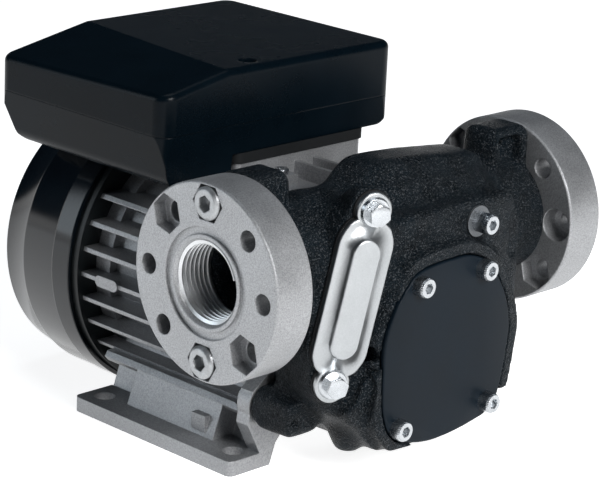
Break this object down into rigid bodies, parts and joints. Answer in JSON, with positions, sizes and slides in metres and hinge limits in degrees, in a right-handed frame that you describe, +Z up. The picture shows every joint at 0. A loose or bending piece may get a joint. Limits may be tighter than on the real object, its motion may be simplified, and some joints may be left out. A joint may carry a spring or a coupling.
{
  "type": "self-priming vane transfer pump with electric motor",
  "caption": "Foot-mounted fuel transfer pump: a finned motor with a fan cover and terminal box drives a vane pump with a strainer, a bypass and threaded flanges on both sides.",
  "frame": {"origin": "centre of the four foot holes on the surface that the feet stand on", "axes": "+X from the inlet flange to the outlet flange, +Y from the pump cover back to the fan, +Z up"},
  "size_m": [0.191, 0.2245, 0.1542],
  "materials": {
    "cast_aluminium": "fine sand-cast, matt",
    "black_casting": "satin black paint over a pebbled casting",
    "black_plate": "smooth satin black paint",
    "black_steel": "semi-gloss black paint on pressed steel",
    "black_plastic": "fine spark-eroded grain",
    "black_rubber": "matt",
    "zinc_steel": "bright zinc plate",
    "bright_plate": "bright pressed sheet",
    "ground_steel": "ground",
    "core_steel": "stacked sheets",
    "copper_winding": "enamelled wire",
    "grey_plastic": "moulded",
    "white_plastic": "moulded",
    "vane_plastic": "machined",
    "brass": "turned",
    "spring_steel": "drawn wire"
  },
  "bodies": {
    "housing": {"motor_housing": "cast_aluminium", "stator_core": "core_steel", "stator_windings": "copper_winding", "front_bearing_outer": "ground_steel", "rear_bearing_outer": "ground_steel", "shaft_seal": "black_rubber", "rear_shield": "black_steel", "rear_shield_screws": "zinc_steel", "fan_cover": "black_steel", "fan_cover_screws": "zinc_steel", "box_base": "black_plastic", "box_lid": "black_plastic", "lid_gasket": "black_rubber", "lid_screw": "zinc_steel", "box_gasket": "black_rubber", "box_fixing_screws": "zinc_steel", "capacitor": "white_plastic", "capacitor_clip": "black_plastic", "terminal_block": "white_plastic", "cable_gland": "black_plastic", "gland_nut": "black_plastic", "earth_screw": "brass", "pump_body": "black_casting", "body_screws": "zinc_steel", "pump_cover": "black_plate", "cover_screws": "zinc_steel", "cover_seal": "black_rubber", "vent_screw": "zinc_steel", "vent_washer": "zinc_steel", "filter_cover": "bright_plate", "filter_gasket": "black_rubber", "filter_screws": "zinc_steel", "filter_screen": "vane_plastic", "bypass_carrier": "brass", "bypass_spring": "spring_steel", "inlet_flange": "cast_aluminium", "inlet_flange_screws": "zinc_steel", "inlet_seal_ring": "black_rubber", "outlet_flange": "cast_aluminium", "outlet_flange_screws": "zinc_steel", "outlet_seal_ring": "black_rubber"},
    "rotor": {"motor_shaft": "ground_steel", "rotor_core": "core_steel", "front_bearing_inner": "ground_steel", "rear_bearing_inner": "ground_steel", "fan": "grey_plastic", "fan_clip": "zinc_steel", "pump_rotor": "ground_steel", "rotor_key": "ground_steel"},
    "front_ball_set": {"front_bearing_balls": "ground_steel", "front_bearing_cage": "grey_plastic"},
    "rear_ball_set": {"rear_bearing_balls": "ground_steel", "rear_bearing_cage": "grey_plastic"},
    "vane_body_1": {"vane_1": "vane_plastic"},
    "vane_body_2": {"vane_2": "vane_plastic"},
    "vane_body_3": {"vane_3": "vane_plastic"},
    "vane_body_4": {"vane_4": "vane_plastic"},
    "vane_body_5": {"vane_5": "vane_plastic"},
    "bypass": {"bypass_poppet": "ground_steel"}
  },
  "joints": [
    {"name": "rotor_spin", "type": "hinge", "parent": "housing", "child": "rotor", "pos_m": [0, 0, 0.057], "axis": [0, 1, 0], "continuous": true},
    {"name": "front_ball_spin", "type": "hinge", "parent": "housing", "child": "front_ball_set", "pos_m": [0, -0.041, 0.057], "axis": [0, 1, 0], "continuous": true},
    {"name": "rear_ball_spin", "type": "hinge", "parent": "housing", "child": "rear_ball_set", "pos_m": [0, 0.0535, 0.057], "axis": [0, 1, 0], "continuous": true},
    {"name": "vane_1_slide", "type": "slide", "parent": "rotor", "child": "vane_body_1", "axis": [-0.5878, 0, 0.809], "range_m": [0, 0.0011]},
    {"name": "vane_2_slide", "type": "slide", "parent": "rotor", "child": "vane_body_2", "axis": [-0.9511, 0, -0.309], "range_m": [0, 0.0005]},
    {"name": "vane_3_slide", "type": "slide", "parent": "rotor", "child": "vane_body_3", "axis": [0, 0, -1], "range_m": [0, 0.0023]},
    {"name": "vane_4_slide", "type": "slide", "parent": "rotor", "child": "vane_body_4", "axis": [0.9511, 0, -0.309], "range_m": [0, 0.0005]},
    {"name": "vane_5_slide", "type": "slide", "parent": "rotor", "child": "vane_body_5", "axis": [0.5878, 0, 0.809], "range_m": [0, 0.0011]},
    {"name": "bypass_slide", "type": "slide", "parent": "housing", "child": "bypass", "axis": [-1, 0, 0], "range_m": [0, 0.005], "stiffness_N_per_m": 1500, "springref_m": -0.006, "deforming": ["bypass_spring"]}
  ],
  "couplings": [
    {"joint": "front_ball_spin", "follows": "rotor_spin", "ratio": 0.38},
    {"joint": "rear_ball_spin", "follows": "rotor_spin", "ratio": 0.3682}
  ]
}
